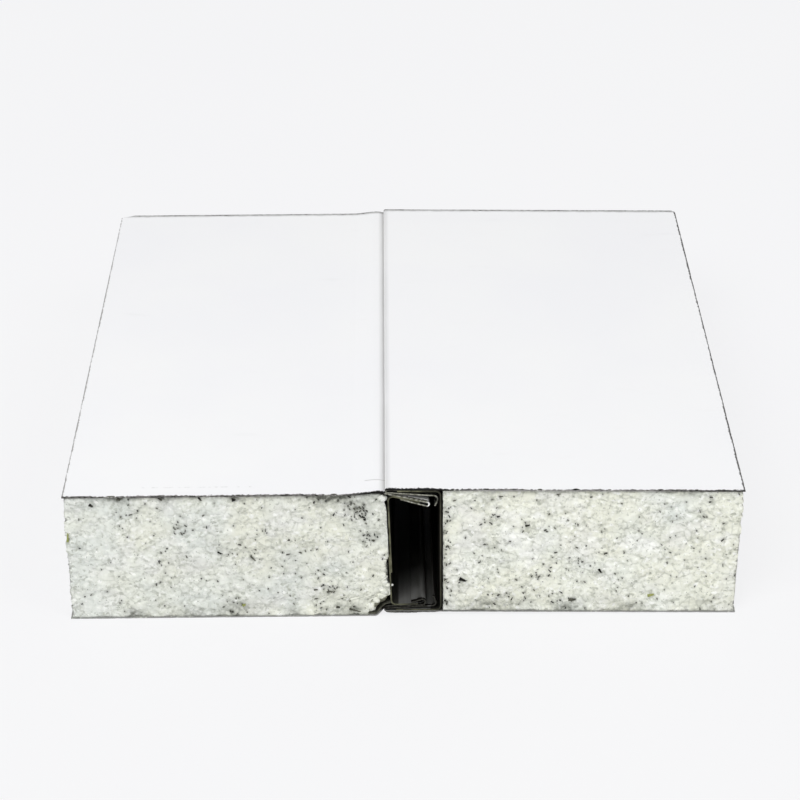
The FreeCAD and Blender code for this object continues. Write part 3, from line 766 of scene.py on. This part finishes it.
def set_studio():
    """A pale floor, a soft white sky, two broad lamps in front and two weak ones behind."""
    mesh = bmesh.new()
    bmesh.ops.create_grid(mesh, x_segments=1, y_segments=1, size=3.0)
    data = bpy.data.meshes.new("floor")
    mesh.to_mesh(data)
    mesh.free()
    data.materials.append(studio_floor())
    floor = bpy.data.objects.new("floor", data)
    bpy.context.scene.collection.objects.link(floor)

    world = bpy.data.worlds.new("studio")
    world.use_nodes = True
    tree = world.node_tree
    sky = tree.nodes["Background"]
    sky.inputs["Color"].default_value = (0.97, 0.98, 1.0, 1)
    path = tree.nodes.new("ShaderNodeLightPath")
    seen = path.outputs["Is Camera Ray"]
    for other in ("Is Glossy Ray", "Is Transmission Ray"):
        either = tree.nodes.new("ShaderNodeMath")
        either.operation = "MAXIMUM"
        tree.links.new(seen, either.inputs[0])
        tree.links.new(path.outputs[other], either.inputs[1])
        seen = either.outputs[0]
    strength = tree.nodes.new("ShaderNodeMapRange")
    tree.links.new(seen, strength.inputs["Value"])
    strength.inputs["To Min"].default_value = SKY_ON_PART
    strength.inputs["To Max"].default_value = SKY_SEEN
    tree.links.new(strength.outputs["Result"], sky.inputs["Strength"])
    bpy.context.scene.world = world

    add_lamp("key", (-0.9, -1.6, 2.1), 1.8, 50.0)
    add_lamp("fill", (1.5, -1.1, 1.9), 1.5, 15.5)
    add_lamp("left_back", (-2.2, 1.6, 0.8), 1.2, 9.0)
    add_lamp("right_back", (2.2, 1.6, 0.8), 1.2, 9.0)


def add_lamp(name, place, size, power):
    """A round soft lamp that looks at the middle of the part."""
    light = bpy.data.lights.new(name, "AREA")
    light.shape = "DISK"
    light.size = size
    light.energy = power
    lamp = bpy.data.objects.new(name, light)
    lamp.location = place
    lamp.rotation_euler = (Vector((0, 0, 0.02)) - Vector(place)).to_track_quat("-Z", "Y").to_euler()
    bpy.context.scene.collection.objects.link(lamp)


def set_camera():
    """A long lens looking down at the front cut, a hair off level."""
    data = bpy.data.cameras.new("camera")
    data.lens = 113.1
    data.sensor_width = 36.0
    camera = bpy.data.objects.new("camera", data)
    camera.location = (-0.0041, -0.8646, 0.4906)
    pitch, heading, roll = math.radians(28.403), math.radians(0.239), math.radians(-0.438)
    look_down = Matrix.Rotation(math.pi / 2 - pitch, 4, "X")
    aim = Matrix.Rotation(-heading, 4, "Z") @ look_down @ Matrix.Rotation(roll, 4, "Z")
    camera.rotation_euler = aim.to_euler()
    bpy.context.scene.collection.objects.link(camera)
    bpy.context.scene.camera = camera


# ---------------------------------------------------------------- assembly

def dress_walls():
    """Give the duct's sheet walls their bare metal."""
    for node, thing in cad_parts.items():
        if node.endswith(("_angle", "_wall")):
            thing.data.materials[0] = MATERIALS["bare"]


def corner_clip(side, reach_in, reach_along):
    """The one plane that clips a skin's back corner."""
    outward = Vector((side / reach_in, 1 / reach_along, 0)).normalized()
    return [(Vector((side * (ends[0] - reach_in / 2), ends[1] - reach_along / 2, 0)), outward)]


def corner_round(side, radius, count):
    """The planes that round a skin's back corner."""
    centre = Vector((side * (ends[0] - radius), ends[1] - radius, 0))
    cuts = []
    for step in range(count):
        swing = math.radians(90 * (step + 0.5) / count)
        outward = Vector((side * math.cos(swing), math.sin(swing), 0))
        cuts.append((centre + outward * radius, outward))
    return cuts


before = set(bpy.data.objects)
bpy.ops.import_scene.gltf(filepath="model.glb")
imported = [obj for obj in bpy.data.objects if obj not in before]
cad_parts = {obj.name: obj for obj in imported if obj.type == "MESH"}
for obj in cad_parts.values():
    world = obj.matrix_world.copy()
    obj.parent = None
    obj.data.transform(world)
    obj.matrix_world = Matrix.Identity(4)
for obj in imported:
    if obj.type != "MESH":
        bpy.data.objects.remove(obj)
cad_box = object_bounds()
ends = (cad_box[1][0], cad_box[1][1])
MATERIALS = {"foam": bead_foam(), "paint": white_paint(ends), "bare": bare_sheet(ends),
             "chips": saw_chips(), "glue": old_glue()}

left_chips = chip_spots("left_core", 110, LEFT_SOOT, LEFT_CHIPS, 5)
right_chips = chip_spots("right_core", 150, RIGHT_SOOT, RIGHT_CHIPS, 11)
foam_core("left_core", 0, left_chips)
foam_core("right_core", 1, right_chips)
scatter_chips("left_core", 0, left_chips)
scatter_chips("right_core", 1, right_chips)
bead_crumbs("loose_beads", [(-12.0, 3.4, 2.1, 1.05), (-9.9, 6.2, 1.6, 1.1), (-8.0, 7.9, 1.3, 1.3),
                            (-7.3, 9.8, 1.3, 1.2), (-5.5, 12.5, 0.75, 2.1), (-7.0, 13.0, 1.4, 1.1),
                            (-7.4, 47.6, 1.5, 1.1)])
flecks("primer_flecks", [(-116.9, 33.5, 3.4, 0.8, 84), (-56.6, 5.0, 1.2, 1.0, 20),
                         (86.9, 7.4, 2.2, 0.8, 12)], olive_flecks())
burrs("left_burrs", [(-112, 49.97, 6, 0.22), (-101, 49.97, 3.5, 0.25), (-84, 49.97, 2, 0.2),
                     (-75, 49.97, 1.5, 0.25), (-57, 49.97, 2.2, 0.25), (-44, 49.97, 1.2, 0.2),
                     (-35, 49.97, 1.6, 0.2), (-24, 49.97, 2.5, 0.25), (-16, 49.97, 2.0, 0.2)])
burrs("right_burrs", [(17, 51.48, 1.4, 0.3), (28.5, 51.31, 2.4, 0.45), (41, 51.12, 1.2, 0.25),
                      (47, 51.03, 2.0, 0.35), (59.5, 50.84, 2.6, 0.5), (71, 50.66, 1.5, 0.3),
                      (88.5, 50.40, 2.4, 0.4), (101, 50.21, 1.5, 0.3), (109, 50.08, 2.0, 0.3)])
burrs("foot_burrs", [(-4.6, 1.75, 4.6, 0.65), (-2.9, 1.7, 5.0, 0.70), (-0.6, 1.7, 5.2, 0.72),
                     (1.3, 1.65, 5.0, 0.66), (3.2, 1.6, 5.2, 0.55), (5.4, 1.6, 5.0, 0.42),
                     (7.8, 1.55, 5.2, 0.34), (10.2, 1.5, 4.6, 0.26)])
glue_smears("foot_glue", [(-7.6, 6.5, 4.6, 0.9, 42), (-10.6, 3.9, 4.4, 0.8, 36)])
sawn_skin("left_top_skin", corner_clip(-1, 5.5 * MM, 2.4 * MM))
sawn_skin("right_top_skin", corner_round(1, 2.5 * MM, 3))
sawn_skin("left_bottom_skin", [])
sawn_skin("right_bottom_skin", [])
dress_walls()
set_studio()
set_camera()

bpy.context.scene.view_settings.view_transform = "Standard"
